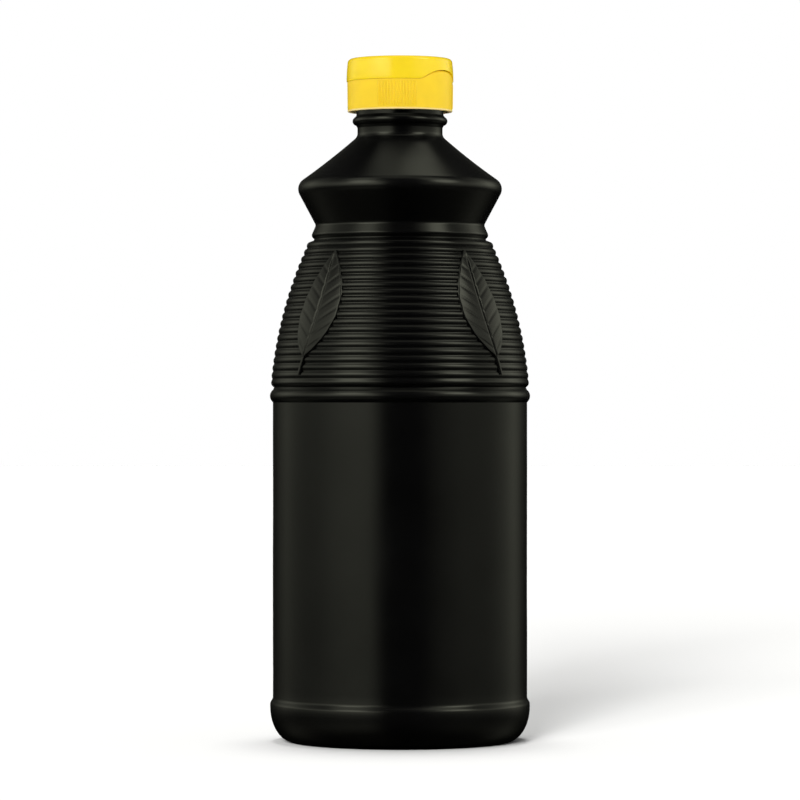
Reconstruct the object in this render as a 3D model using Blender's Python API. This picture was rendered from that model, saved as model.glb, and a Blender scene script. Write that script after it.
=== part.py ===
"""A coffee syrup bottle: a ribbed, blow-moulded bottle with its flip-top cap shut.

Units are metres, +Z is up, and the origin is at the bottom centre of the foot.
The front of the bottle faces -Y. Angles round the bottle are degrees to the
right of the front, as seen by someone who faces it.
"""

import math

import bmesh
import bpy

MM = 0.001

# How finely round things are turned
BOTTLE_STEPS = 44
CAP_STEPS = 48

# Gap kept between two pieces
GAP = 0.3 * MM

# Foot and label panel (radius and height on the outer skin)
PUSH_UP = 2.4 * MM
FOOT_RING_IN = 29.8 * MM
FOOT_RING_OUT = 36.4 * MM
FOOT_RADIUS = 44.12 * MM
FOOT_CURVE_TOP = 11.8 * MM
STEP_TOP = 12.8 * MM
PANEL_BOTTOM = 15.1 * MM
PANEL_RADIUS = 43.2 * MM

# Wide bead above the label panel
BEAD_BOTTOM = 115.1 * MM
BEAD_MIDDLE = 117.3 * MM
BEAD_RADIUS = 44.2 * MM
BEAD_ROUNDING = 2.7 * MM
BEAD_GROOVE_RADIUS = 42.62 * MM
BEAD_GROOVE_HEIGHT = 120.1 * MM

# Ribbed band: the grooves lie on an arc, an equal way apart along it. The first and the
# last rib stand out more than the rest.
BAND_LOW = (43.35 * MM, 123.1 * MM)
BAND_HIGH = (31.42 * MM, 167.4 * MM)
BAND_ARC_RADIUS = 142.0 * MM
BAND_ARC_RIBS = 18
RIB_HEIGHT_LOW = 0.42 * MM
RIB_HEIGHT_HIGH = 0.66 * MM
FIRST_RIB_HEIGHT = 0.8 * MM
TOP_RIB = (31.7 * MM, 168.2 * MM)
TOP_RIB_ROUNDING = 1.45 * MM
TOP_GROOVE = (29.2 * MM, 170.45 * MM)
TOP_GROOVE_ROUNDING = 0.45 * MM

# Waist, ridge, shoulder cone and neck
WAIST_BEAD = (29.98 * MM, 171.9 * MM)
WAIST_BEAD_ROUNDING = 1.2 * MM
WAIST = (28.75 * MM, 175.25 * MM)
WAIST_ROUNDING = 1.4 * MM
WAIST_SLOPE = 25.0
RIDGE_RADIUS = 34.62 * MM
RIDGE_HEIGHT = 187.6 * MM
RIDGE_ROUNDING = 3.9 * MM
LOWER_CONE_ANGLE = 27.8
SHOULDER_ANGLE = 54.6
SHOULDER_TOP_ANGLE = 48.5
SHOULDER_HOLLOW = 0.3 * MM
NECK_RADIUS = 14.46 * MM
NECK_FILLET = 2.6 * MM
NECK_LOW = 206.6 * MM
NECK_HIGH = 208.15 * MM
NECK_BEAD_HEIGHT = 210.65 * MM
NECK_BEAD_RADIUS = 16.13 * MM
NECK_BEAD_ROUNDING = 1.45 * MM
NECK_TOP_RADIUS = 14.8 * MM
NECK_TOP = 221.5 * MM

# Leaf relief on the ribbed band: two pairs of leaves that lean towards each other
LEAF_COUNT = 4
LEAF_FIRST_ANGLE = 45.0
LEAF_BOTTOM = 130.4 * MM
LEAF_LENGTH = 36.0 * MM
LEAF_HALF_WIDTH = 8.4 * MM
LEAF_LEAN = 5.0 * MM
LEAF_BEND = 1.6 * MM
LEAF_STATIONS = 12
LEAF_RELIEF = 0.6 * MM
LEAF_EDGE_DROP = 0.2 * MM
LEAF_VEIN_DEPTH = 0.4 * MM
LEAF_VEIN_HALF_WIDTH = 0.6 * MM
LEAF_ROOT = 0.9 * MM
LEAF_TIP_HALF_WIDTH = 0.12 * MM
STEM_LENGTH = 6.0 * MM
STEM_HALF_WIDTH = 0.65 * MM

# Cap
SKIRT_BOTTOM = 213.8 * MM
SKIRT_RADIUS_LOW = 17.86 * MM
SKIRT_RADIUS_HIGH = 17.98 * MM
SKIRT_INSIDE = 16.45 * MM
SKIRT_LIP = 0.25 * MM
DECK_THICKNESS = 1.8 * MM
PARTING = 224.05 * MM
LID_RADIUS_LOW = 18.15 * MM
LID_RADIUS_HIGH = 17.8 * MM
LID_TOP = 231.8 * MM
LID_ROUNDING = 1.4 * MM
LID_EDGE = 0.25 * MM

# Thumb notch: the front wall of the base rises in an arch and the lid is cut to suit
NOTCH_ANGLE = 56.7
NOTCH_HALF_ANGLE = 34.0
NOTCH_HEIGHT = 3.25 * MM
NOTCH_SHAPE = (2.6, 1.3)  # powers that give a broad arch with eased feet
NOTCH_STATIONS = 17
NOTCH_WALL = 2.1 * MM
NOTCH_RECESS = 0.5 * MM
NOTCH_ROUNDING = 1.4 * MM

# Knurl: fine upright ribs in two patches, at equal angles either side of the notch
KNURL_PITCH = 3.45
KNURL_RIBS = 13
KNURL_FIRST_ANGLES = (-24.0, 95.6)
KNURL_BOTTOM = 214.9 * MM
KNURL_TOP = 223.3 * MM
KNURL_HALF_WIDTH = 0.38 * MM
KNURL_HEIGHT = 0.16 * MM
KNURL_ROOT = 0.25 * MM

# Hinge lug, opposite the notch
HINGE_WIDTH = 9.0 * MM
HINGE_THICKNESS = 1.1 * MM
HINGE_DROP = 1.6 * MM

BOTTLE_BLACK = (0.011, 0.011, 0.009, 1.0)
CAP_YELLOW = (0.93, 0.60, 0.03, 1.0)


def clear_scene():
    for leftover in list(bpy.data.objects):
        bpy.data.objects.remove(leftover)


def plastic(name, colour, roughness):
    """A Principled BSDF for one piece of moulded plastic."""
    material = bpy.data.materials.new(name)
    material.use_nodes = True
    shader = material.node_tree.nodes["Principled BSDF"]
    shader.inputs["Base Color"].default_value = colour
    shader.inputs["Roughness"].default_value = roughness
    shader.inputs["Metallic"].default_value = 0.0
    return material


def around(angle, radius, height):
    """The point at this angle to the right of the front, this far from the axis."""
    turn = math.radians(angle)
    return (radius * math.sin(turn), -radius * math.cos(turn), height)


def arc(centre, radius, start, end, steps):
    """Points of an arc in the (radius, height) plane, angles in degrees from the +radius direction."""
    points = []
    for step in range(steps + 1):
        turn = math.radians(start + (end - start) * step / steps)
        points.append((centre[0] + radius * math.cos(turn), centre[1] + radius * math.sin(turn)))
    return points


def bowed(start, end, bulge, steps):
    """Points between start and end of a shallow curve that stands out by bulge, both ends left out."""
    across = (end[0] - start[0], end[1] - start[1])
    length = math.hypot(*across)
    outward = (across[1] / length, -across[0] / length)
    points = []
    for step in range(1, steps):
        share = step / steps
        out = bulge * 4 * share * (1 - share)
        points.append((start[0] + across[0] * share + outward[0] * out,
                       start[1] + across[1] * share + outward[1] * out))
    return points


def smooth_step(start, end, steps):
    """Points of an S-curve from start to end that leaves and arrives upright, both ends left out."""
    points = []
    for step in range(1, steps):
        share = step / steps
        ease = (1 - math.cos(math.pi * share)) / 2
        points.append((start[0] + (end[0] - start[0]) * ease, start[1] + (end[1] - start[1]) * share))
    return points


def band_arc():
    """Centre and end angles of the arc on which the grooves of the ribbed band lie."""
    across = (BAND_HIGH[0] - BAND_LOW[0], BAND_HIGH[1] - BAND_LOW[1])
    chord = math.hypot(*across)
    middle = ((BAND_LOW[0] + BAND_HIGH[0]) / 2, (BAND_LOW[1] + BAND_HIGH[1]) / 2)
    inward = (-across[1] / chord, across[0] / chord)
    depth = math.sqrt(BAND_ARC_RADIUS ** 2 - (chord / 2) ** 2)
    centre = (middle[0] + inward[0] * depth, middle[1] + inward[1] * depth)
    low = math.degrees(math.atan2(BAND_LOW[1] - centre[1], BAND_LOW[0] - centre[0]))
    high = math.degrees(math.atan2(BAND_HIGH[1] - centre[1], BAND_HIGH[0] - centre[0]))
    return centre, low, high


def band_radius(height):
    """Radius of the ribbed band at its grooves."""
    centre = band_arc()[0]
    return centre[0] + math.sqrt(BAND_ARC_RADIUS ** 2 - (height - centre[1]) ** 2)


def rib_height(height):
    share = (height - BAND_LOW[1]) / (BAND_HIGH[1] - BAND_LOW[1])
    return RIB_HEIGHT_LOW + (RIB_HEIGHT_HIGH - RIB_HEIGHT_LOW) * share


def rib(low, high, bulge):
    """The two shoulders of one rounded rib, a third of the way in from each of its grooves."""
    share_at_shoulder = 4 * (1 / 3) * (2 / 3)
    return bowed(low, high, bulge / share_at_shoulder, 3)


def foot_outline():
    """From the middle of the underside out and up to the foot of the label panel."""
    points = [(0.0, PUSH_UP)]
    points += bowed(points[0], (FOOT_RING_IN, 0.0), -PUSH_UP / 4, 3)
    points.append((FOOT_RING_IN, 0.0))
    reach = FOOT_RADIUS - FOOT_RING_OUT
    for step in range(6):
        turn = math.radians(90 * step / 5)
        points.append((FOOT_RING_OUT + reach * math.sin(turn), FOOT_CURVE_TOP * (1 - math.cos(turn))))
    points.append((FOOT_RADIUS, STEP_TOP))
    points += smooth_step(points[-1], (PANEL_RADIUS, PANEL_BOTTOM), 3)
    return points


def bead_outline():
    """The label panel and the wide bead above it, up to the first groove."""
    centre = (BEAD_RADIUS - BEAD_ROUNDING, BEAD_MIDDLE)
    start = -math.degrees(math.asin((BEAD_MIDDLE - BEAD_BOTTOM) / BEAD_ROUNDING))
    points = [(PANEL_RADIUS, PANEL_BOTTOM), (PANEL_RADIUS, BEAD_BOTTOM)]
    points += arc(centre, BEAD_ROUNDING, start * 0.75, -start * 0.95, 4)
    points.append((BEAD_GROOVE_RADIUS, BEAD_GROOVE_HEIGHT))
    return points


def band_outline():
    """Twenty ribs: one up to the arc, eighteen along it, and a rounded one down into the waist."""
    centre, low, high = band_arc()
    grooves = arc(centre, BAND_ARC_RADIUS, low, high, BAND_ARC_RIBS)
    points = rib((BEAD_GROOVE_RADIUS, BEAD_GROOVE_HEIGHT), grooves[0], FIRST_RIB_HEIGHT) + [grooves[0]]
    for start, end in zip(grooves, grooves[1:]):
        points += rib(start, end, rib_height((start[1] + end[1]) / 2)) + [end]
    points += arc((TOP_RIB[0] - TOP_RIB_ROUNDING, TOP_RIB[1]), TOP_RIB_ROUNDING, -5, 72, 3)
    points += arc((TOP_GROOVE[0] + TOP_GROOVE_ROUNDING, TOP_GROOVE[1]), TOP_GROOVE_ROUNDING, 245, 145, 2)
    return points


def neck_outline():
    """The small bead, the waist, the ridge, the hollow shoulder cone and the neck up inside the cap."""
    bead = (WAIST_BEAD[0] - WAIST_BEAD_ROUNDING, WAIST_BEAD[1])
    points = arc(bead, WAIST_BEAD_ROUNDING, -38, WAIST_SLOPE, 3)
    waist = (WAIST[0] + WAIST_ROUNDING, WAIST[1])
    points += arc(waist, WAIST_ROUNDING, 180 + WAIST_SLOPE, 180 - LOWER_CONE_ANGLE, 3)
    ridge = (RIDGE_RADIUS - RIDGE_ROUNDING, RIDGE_HEIGHT)
    points += arc(ridge, RIDGE_ROUNDING, -LOWER_CONE_ANGLE, SHOULDER_ANGLE, 5)
    fillet = arc((NECK_RADIUS + NECK_FILLET, NECK_LOW), NECK_FILLET, 180 + SHOULDER_TOP_ANGLE, 180, 3)
    points += bowed(points[-1], fillet[0], -SHOULDER_HOLLOW, 4)
    points += fillet
    points.append((NECK_RADIUS, NECK_HIGH))
    points.append((NECK_RADIUS + 0.45 * MM, NECK_BEAD_HEIGHT - 1.45 * MM))
    bead = (NECK_BEAD_RADIUS - NECK_BEAD_ROUNDING, NECK_BEAD_HEIGHT)
    points += arc(bead, NECK_BEAD_ROUNDING, -60, 60, 4)
    points.append((NECK_TOP_RADIUS, NECK_BEAD_HEIGHT + 1.95 * MM))
    points += [(NECK_TOP_RADIUS, NECK_TOP), (0.0, NECK_TOP)]
    return points


def turned(name, outline, steps, material):
    """A solid of revolution. The outline runs from the axis below, out and up, to the axis above."""
    mesh = bpy.data.meshes.new(name)
    points = [(radius, 0.0, height) for radius, height in reversed(outline)]
    edges = [(index, index + 1) for index in range(len(points) - 1)]
    mesh.from_pydata(points, edges, [])
    mesh.materials.append(material)
    piece = bpy.data.objects.new(name, mesh)
    bpy.context.scene.collection.objects.link(piece)
    screw = piece.modifiers.new("turn", "SCREW")
    screw.steps = steps
    screw.render_steps = steps
    screw.use_merge_vertices = True
    screw.merge_threshold = 0.00001
    screw.use_smooth_shade = True
    return piece


def lofted(name, sections, collection):
    """A closed mesh through sections that all have the same number of points."""
    shape = bmesh.new()
    rings = [[shape.verts.new(point) for point in section] for section in sections]
    count = len(sections[0])
    for lower, upper in zip(rings, rings[1:]):
        for index in range(count):
            after = (index + 1) % count
            shape.faces.new((lower[index], lower[after], upper[after], upper[index]))
    shape.faces.new(rings[0])
    shape.faces.new(rings[-1])
    bmesh.ops.recalc_face_normals(shape, faces=shape.faces)
    bmesh.ops.triangulate(shape, faces=shape.faces)
    mesh = bpy.data.meshes.new(name)
    shape.to_mesh(mesh)
    shape.free()
    helper = bpy.data.objects.new(name, mesh)
    helper.hide_render = True
    helper.display_type = "WIRE"
    collection.objects.link(helper)
    return helper


def helper_collection(name):
    collection = bpy.data.collections.new(name)
    bpy.context.scene.collection.children.link(collection)
    return collection


def boolean(piece, collection, operation):
    """Joins to the piece, or cuts from it, all the helpers of a collection."""
    modifier = piece.modifiers.new(collection.name, "BOOLEAN")
    modifier.operation = operation
    modifier.operand_type = "COLLECTION"
    modifier.collection = collection
    modifier.solver = "EXACT"


def leaf_half_width(share):
    """Half width of the blade from its base (0) to its tip (1)."""
    if share <= 0:
        return STEM_HALF_WIDTH
    blade = LEAF_HALF_WIDTH * math.sin(math.pi * share ** 0.8) ** 0.9
    return max(STEM_HALF_WIDTH * (1 - share), blade, LEAF_TIP_HALF_WIDTH)


def leaf_section(angle, side, share):
    """One cross-section of a leaf laid round the band: a crowned blade with a vein groove.

    The leaf leans to the right where side is 1, and to the left where it is -1.
    """
    height = LEAF_BOTTOM + LEAF_LENGTH * share
    base = band_radius(height)
    crest = base + rib_height(height)
    half = leaf_half_width(share)
    vein = min(LEAF_VEIN_HALF_WIDTH, half * 0.4)
    middle = side * (LEAF_LEAN * (share - 0.5) + LEAF_BEND * math.sin(math.pi * share))
    depth = LEAF_VEIN_DEPTH if share > 0 else 0.0
    across = (
        (-half, base - LEAF_ROOT),
        (-half, crest + LEAF_RELIEF - LEAF_EDGE_DROP),
        (-vein, crest + LEAF_RELIEF),
        (0.0, crest + LEAF_RELIEF - depth),
        (vein, crest + LEAF_RELIEF),
        (half, crest + LEAF_RELIEF - LEAF_EDGE_DROP),
        (half, base - LEAF_ROOT),
    )
    return [around(angle + math.degrees((middle + aside) / base), radius, height)
            for aside, radius in across]


def add_leaves(bottle):
    leaves = helper_collection("leaf_relief")
    first, last = 0.02, 0.99
    stem_shares = [-STEM_LENGTH / LEAF_LENGTH, -first]
    blade_shares = [first + (last - first) * step / (LEAF_STATIONS - 1) for step in range(LEAF_STATIONS)]
    for index in range(LEAF_COUNT):
        angle = LEAF_FIRST_ANGLE + 360 * index / LEAF_COUNT
        side = -1 if index % 2 == 0 else 1
        sections = [leaf_section(angle, side, share) for share in stem_shares + blade_shares]
        lofted(f"leaf_{index + 1}", sections, leaves)
    boolean(bottle, leaves, "UNION")


def make_bottle():
    outline = foot_outline() + bead_outline()[1:] + band_outline() + neck_outline()
    black = plastic("black blow-moulded polyethylene", BOTTLE_BLACK, 0.38)
    bottle = turned("bottle", outline, BOTTLE_STEPS, black)
    add_leaves(bottle)
    return bottle


def notch_rise(angle):
    """How far the arch stands above the parting plane at this angle."""
    share = min(1.0, abs(angle - NOTCH_ANGLE) / NOTCH_HALF_ANGLE)
    return NOTCH_HEIGHT * (1 - share ** NOTCH_SHAPE[0]) ** NOTCH_SHAPE[1]


def notch_angles():
    steps = NOTCH_STATIONS - 1
    return [NOTCH_ANGLE + NOTCH_HALF_ANGLE * (2 * step / steps - 1) for step in range(NOTCH_STATIONS)]


def arch_wall(collection):
    """The raised wall of the base that fills the notch: its outer edge is rounded back at the top."""
    inner = SKIRT_RADIUS_HIGH - NOTCH_WALL
    foot = PARTING - DECK_THICKNESS / 2
    sections = []
    for angle in notch_angles():
        top = PARTING - GAP / 2 + notch_rise(angle)
        round_off = min(NOTCH_ROUNDING, notch_rise(angle) / 2 + GAP)
        across = (
            (inner, foot),
            (SKIRT_RADIUS_HIGH, foot),
            (SKIRT_RADIUS_HIGH, top - round_off),
            (SKIRT_RADIUS_HIGH - NOTCH_RECESS * 0.35, top - round_off * 0.4),
            (SKIRT_RADIUS_HIGH - NOTCH_RECESS, top),
            (inner, top),
        )
        sections.append([around(angle, radius, height) for radius, height in across])
    lofted("notch_wall", sections, collection)


def notch_cutter(collection):
    """What the lid leaves out for that wall, a gap larger all round."""
    inner = SKIRT_RADIUS_HIGH - NOTCH_WALL - GAP
    outer = LID_RADIUS_LOW + 1.0 * MM
    foot = PARTING - 1.0 * MM
    sections = []
    for angle in notch_angles():
        top = PARTING + GAP / 2 + notch_rise(angle)
        across = ((inner, foot), (outer, foot), (outer, top), (inner, top))
        sections.append([around(angle, radius, height) for radius, height in across])
    lofted("notch_cut", sections, collection)


def skirt_radius(height):
    share = (height - SKIRT_BOTTOM) / (PARTING - SKIRT_BOTTOM)
    return SKIRT_RADIUS_LOW + (SKIRT_RADIUS_HIGH - SKIRT_RADIUS_LOW) * share


def knurl_rib(name, angle, collection):
    """One upright rib, three-sided, with its root inside the skirt."""
    sections = []
    stretch = math.degrees(KNURL_HALF_WIDTH / SKIRT_RADIUS_HIGH)
    for height in (KNURL_BOTTOM, KNURL_TOP):
        skin = skirt_radius(height)
        sections.append([
            around(angle - stretch, skin - KNURL_ROOT, height),
            around(angle, skin + KNURL_HEIGHT, height),
            around(angle + stretch, skin - KNURL_ROOT, height),
        ])
    lofted(name, sections, collection)


def add_knurl(base):
    ribs = helper_collection("knurl")
    for first in KNURL_FIRST_ANGLES:
        for index in range(KNURL_RIBS):
            knurl_rib(f"knurl_{round(first)}_{index}", first + KNURL_PITCH * index, ribs)
    boolean(base, ribs, "UNION")


def hinge_block(name, width, thickness, low, high, collection):
    """A block across the back of the cap, its outer face flush with the wall."""
    back = NOTCH_ANGLE + 180
    half = math.degrees(width / 2 / LID_RADIUS_LOW)
    outer = SKIRT_RADIUS_HIGH
    inner = outer - thickness
    sections = []
    for step in range(5):
        angle = back + half * (step / 2 - 1)
        across = ((inner, low), (outer, low), (outer, high), (inner, high))
        sections.append([around(angle, radius, height) for radius, height in across])
    lofted(name, sections, collection)


def make_cap_base():
    deck_top = PARTING - GAP / 2
    deck_bottom = NECK_TOP + GAP
    outline = [
        (0.0, deck_bottom),
        (SKIRT_INSIDE, deck_bottom),
        (SKIRT_INSIDE, SKIRT_BOTTOM + SKIRT_LIP),
        (SKIRT_INSIDE + SKIRT_LIP, SKIRT_BOTTOM),
        (SKIRT_RADIUS_LOW - SKIRT_LIP, SKIRT_BOTTOM),
        (SKIRT_RADIUS_LOW, SKIRT_BOTTOM + SKIRT_LIP),
        (SKIRT_RADIUS_HIGH, deck_top - LID_EDGE),
        (SKIRT_RADIUS_HIGH - LID_EDGE, deck_top),
        (0.0, deck_top),
    ]
    yellow = plastic("yellow polypropylene, cap base", CAP_YELLOW, 0.32)
    base = turned("cap_base", outline, CAP_STEPS, yellow)
    wall = helper_collection("base_wall")
    arch_wall(wall)
    boolean(base, wall, "UNION")
    add_knurl(base)
    pocket = helper_collection("hinge_pocket")
    hinge_block("pocket", HINGE_WIDTH + 2 * GAP, HINGE_THICKNESS + GAP,
                PARTING - HINGE_DROP - GAP, PARTING + 1 * MM, pocket)
    widen_outwards(pocket)
    boolean(base, pocket, "DIFFERENCE")
    return base


def widen_outwards(collection):
    """Pushes the outer face of a cutter out past the wall that it cuts."""
    for cutter in collection.objects:
        for vertex in cutter.data.vertices:
            radius = math.hypot(vertex.co.x, vertex.co.y)
            if radius > SKIRT_RADIUS_HIGH - 0.01 * MM:
                stretch = (radius + 1 * MM) / radius
                vertex.co.x *= stretch
                vertex.co.y *= stretch


def make_cap_lid():
    bottom = PARTING + GAP / 2
    outline = [
        (0.0, bottom),
        (LID_RADIUS_LOW - LID_EDGE, bottom),
        (LID_RADIUS_LOW, bottom + LID_EDGE),
        (LID_RADIUS_LOW - 0.08 * MM, bottom + 4.2 * MM),
    ]
    centre = (LID_RADIUS_HIGH - LID_ROUNDING, LID_TOP - LID_ROUNDING)
    outline += arc(centre, LID_ROUNDING, 0, 90, 4)
    outline.append((0.0, LID_TOP))
    yellow = plastic("yellow polypropylene, lid", CAP_YELLOW, 0.3)
    lid = turned("cap_lid", outline, CAP_STEPS, yellow)
    cut = helper_collection("lid_cut")
    notch_cutter(cut)
    boolean(lid, cut, "DIFFERENCE")
    lug = helper_collection("hinge_lug")
    hinge_block("lug", HINGE_WIDTH, HINGE_THICKNESS, PARTING - HINGE_DROP, PARTING + 2 * MM, lug)
    boolean(lid, lug, "UNION")
    return lid


clear_scene()
make_bottle()
make_cap_base()
make_cap_lid()
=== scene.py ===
# %% [markdown]
# # A coffee syrup bottle, finished
#
# The real bottle is one blow-moulded shell of black polyethylene, closed by a flip-top
# cap in two shades of one yellow polypropylene moulding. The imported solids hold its
# size and how it stands. This script makes a finer piece of the same size for each of
# them, with the finish of its plastic. The frame is loaded first, because every piece
# has to agree with it.

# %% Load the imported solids
import math

import bpy
from mathutils import Matrix, Vector


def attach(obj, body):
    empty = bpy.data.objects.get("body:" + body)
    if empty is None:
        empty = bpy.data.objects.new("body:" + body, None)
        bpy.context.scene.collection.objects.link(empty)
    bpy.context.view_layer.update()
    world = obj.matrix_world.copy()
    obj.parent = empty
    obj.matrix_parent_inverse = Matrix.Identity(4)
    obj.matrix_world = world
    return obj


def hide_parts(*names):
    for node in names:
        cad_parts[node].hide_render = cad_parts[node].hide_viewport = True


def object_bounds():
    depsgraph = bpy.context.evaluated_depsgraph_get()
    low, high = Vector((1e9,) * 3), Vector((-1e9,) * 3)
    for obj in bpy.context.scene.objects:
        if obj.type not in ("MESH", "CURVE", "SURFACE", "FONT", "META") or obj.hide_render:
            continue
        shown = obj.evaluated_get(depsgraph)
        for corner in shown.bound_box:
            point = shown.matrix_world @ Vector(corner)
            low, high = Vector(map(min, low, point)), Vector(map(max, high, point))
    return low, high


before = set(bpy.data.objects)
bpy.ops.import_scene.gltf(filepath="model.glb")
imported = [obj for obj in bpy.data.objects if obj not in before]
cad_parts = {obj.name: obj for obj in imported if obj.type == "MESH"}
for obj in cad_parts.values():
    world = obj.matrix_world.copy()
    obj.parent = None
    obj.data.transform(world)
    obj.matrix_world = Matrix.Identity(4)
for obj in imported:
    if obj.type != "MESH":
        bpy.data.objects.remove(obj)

MM = 0.001
cad_low, cad_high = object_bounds()
width = (cad_high.x - cad_low.x) / MM
print(f"the solids are {width:.1f} mm wide and {cad_high.z / MM:.1f} mm tall")

# %% [markdown]
# ## Drawing a round thing
#
# A blown bottle and a moulded cap are round, so each is half an outline turned about
# the upright axis. The outline could be a curve, or a stack of scaled rings. Here it is
# one vertex, extruded from point to point as a hand would draw it, because its rounds
# then follow from a few radii, and one spin makes the surface.

# %% Points of an outline
def arc(centre, radius, start, end, steps):
    """Points (radius, height) of an arc. Its angles are in degrees: 0 points outwards, 90 up."""
    points = []
    for step in range(steps + 1):
        turn = math.radians(start + (end - start) * step / steps)
        points.append((centre[0] + radius * math.cos(turn), centre[1] + radius * math.sin(turn)))
    return points


def bow_point(start, end, bulge, share):
    """A point of the shallow curve from start (0) to end (1) that stands out by bulge."""
    across = (end[0] - start[0], end[1] - start[1])
    length = math.hypot(*across)
    outward = (across[1] / length, -across[0] / length)
    out = bulge * 4 * share * (1 - share)
    return (start[0] + across[0] * share + outward[0] * out,
            start[1] + across[1] * share + outward[1] * out)


def bowed(start, end, bulge, steps):
    """The points between start and end of such a curve."""
    return [bow_point(start, end, bulge, step / steps) for step in range(1, steps)]


def s_curve(start, end, steps):
    """The points between start and end of an S that leaves and arrives upright."""
    points = []
    for step in range(1, steps):
        share = step / steps
        ease = (1 - math.cos(math.pi * share)) / 2
        points.append((start[0] + (end[0] - start[0]) * ease,
                       start[1] + (end[1] - start[1]) * share))
    return points


# %% [markdown]
# ## One spin for a whole surface
#
# A Screw modifier would turn the outline as well. The Spin operator is what a hand would
# use, and it leaves plain faces that can be welded at once: the seam where the turn ends
# and the pole at each end of the axis are closed, and the faces are turned outwards.

# %% Draw an outline and spin it
ROUND_STEPS = 192
MERGE = 0.001 * MM


def take_up(piece):
    """Makes this the only selected piece, and the active one."""
    bpy.ops.object.select_all(action="DESELECT")
    piece.select_set(True)
    bpy.context.view_layer.objects.active = piece


def close_skin():
    """In edit mode: welds the seam and the poles, and turns every face outwards."""
    bpy.ops.mesh.select_all(action="SELECT")
    bpy.ops.mesh.remove_doubles(threshold=MERGE)
    bpy.ops.mesh.fill_holes(sides=0)
    bpy.ops.mesh.select_all(action="SELECT")
    bpy.ops.mesh.normals_make_consistent(inside=False)
    bpy.ops.object.mode_set(mode="OBJECT")


def turned(name, outline):
    """A closed round solid. Its outline runs from the axis below, out and up, to the axis."""
    bpy.ops.object.select_all(action="DESELECT")
    bpy.ops.mesh.primitive_plane_add(size=MM)
    piece = bpy.context.object
    piece.name = name
    bpy.ops.object.mode_set(mode="EDIT")
    bpy.ops.mesh.merge(type="CENTER")
    bpy.ops.transform.translate(value=(outline[0][0], 0.0, outline[0][1]))
    for start, end in zip(outline, outline[1:]):
        move = (end[0] - start[0], 0.0, end[1] - start[1])
        bpy.ops.mesh.extrude_vertices_move(TRANSFORM_OT_translate={"value": move})
    bpy.ops.mesh.select_all(action="SELECT")
    bpy.ops.mesh.spin(steps=ROUND_STEPS, angle=math.tau, center=(0, 0, 0), axis=(0, 0, 1))
    close_skin()
    print(f"{name}: {len(outline)} points turned into {len(piece.data.polygons)} faces")
    return piece


# %% [markdown]
# ## The bottle's outline
#
# From the table up: a foot that stands on a flat ring round a hollow push-up, a step
# in to the label panel, and the panel itself, a little narrower than the foot and the
# bead above it, so that a label is kept from rubbing.

# %% Foot and label panel
PUSH_UP = 2.4 * MM
PUSH_UP_BOW = PUSH_UP / 4
FOOT_RING_IN = 29.8 * MM
FOOT_RING_OUT = 36.4 * MM
FOOT_RADIUS = 44.12 * MM
FOOT_CURVE_TOP = 11.8 * MM
FOOT_STEPS = 16
STEP_TOP = 12.8 * MM
PANEL_BOTTOM = 15.1 * MM
PANEL_RADIUS = 43.2 * MM
BEAD_BOTTOM = 115.1 * MM
PANEL_RINGS = 34
PANEL_END = 0.2 * MM


def foot_outline():
    """Push-up, standing ring, a quarter of an ellipse, and the step in to the panel."""
    points = [(0.0, PUSH_UP)]
    points += bowed(points[0], (FOOT_RING_IN, 0.0), -PUSH_UP_BOW, steps=14)
    points.append((FOOT_RING_IN, 0.0))
    reach = FOOT_RADIUS - FOOT_RING_OUT
    for step in range(FOOT_STEPS + 1):
        turn = math.radians(90 * step / FOOT_STEPS)
        points.append((FOOT_RING_OUT + reach * math.sin(turn),
                       FOOT_CURVE_TOP * (1 - math.cos(turn))))
    points.append((FOOT_RADIUS, STEP_TOP))
    points += s_curve(points[-1], (PANEL_RADIUS, PANEL_BOTTOM), steps=9)
    return points


def panel_outline():
    """The straight wall. A ring close to each end keeps the smooth shading straight as well."""
    low = PANEL_BOTTOM + PANEL_END
    high = BEAD_BOTTOM - PANEL_END
    points = [(PANEL_RADIUS, PANEL_BOTTOM)]
    for ring in range(PANEL_RINGS + 1):
        points.append((PANEL_RADIUS, low + (high - low) * ring / PANEL_RINGS))
    points.append((PANEL_RADIUS, BEAD_BOTTOM))
    return points


print(f"label panel {(BEAD_BOTTOM - PANEL_BOTTOM) / MM:.0f} mm tall")

# %% [markdown]
# ## Bead and ribbed band
#
# One wide bead closes the panel. The band above it narrows along an arc, and twenty
# rounded ribs of nearly equal pitch run round it. They stiffen the wall and give a wet
# hand its grip. Each rib is a shallow bow between two grooves. A blown wall has no
# knife-sharp corner, so a narrow strip at the bottom of each groove stands for its small
# radius.

# %% Bead and ribs
BEAD_MIDDLE = 117.3 * MM
BEAD_RADIUS = 44.2 * MM
BEAD_ROUNDING = 2.7 * MM
BEAD_GROOVE = (42.62 * MM, 120.1 * MM)
BAND_LOW = (43.35 * MM, 123.1 * MM)
BAND_HIGH = (31.42 * MM, 167.4 * MM)
BAND_ARC_RADIUS = 142.0 * MM
BAND_ARC_RIBS = 18
RIB_HEIGHT_LOW = 0.42 * MM
RIB_HEIGHT_HIGH = 0.66 * MM
FIRST_RIB_HEIGHT = 0.8 * MM
TOP_RIB = (31.7 * MM, 168.2 * MM)
TOP_RIB_ROUNDING = 1.45 * MM
TOP_GROOVE = (29.2 * MM, 170.45 * MM)
TOP_GROOVE_ROUNDING = 0.45 * MM
RIB_STEPS = 8
GROOVE_SHARE = 0.05
# How much of the bead's round shows below and above its middle.
BEAD_SHARE_LOW = 0.75
BEAD_SHARE_HIGH = 0.95


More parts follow.
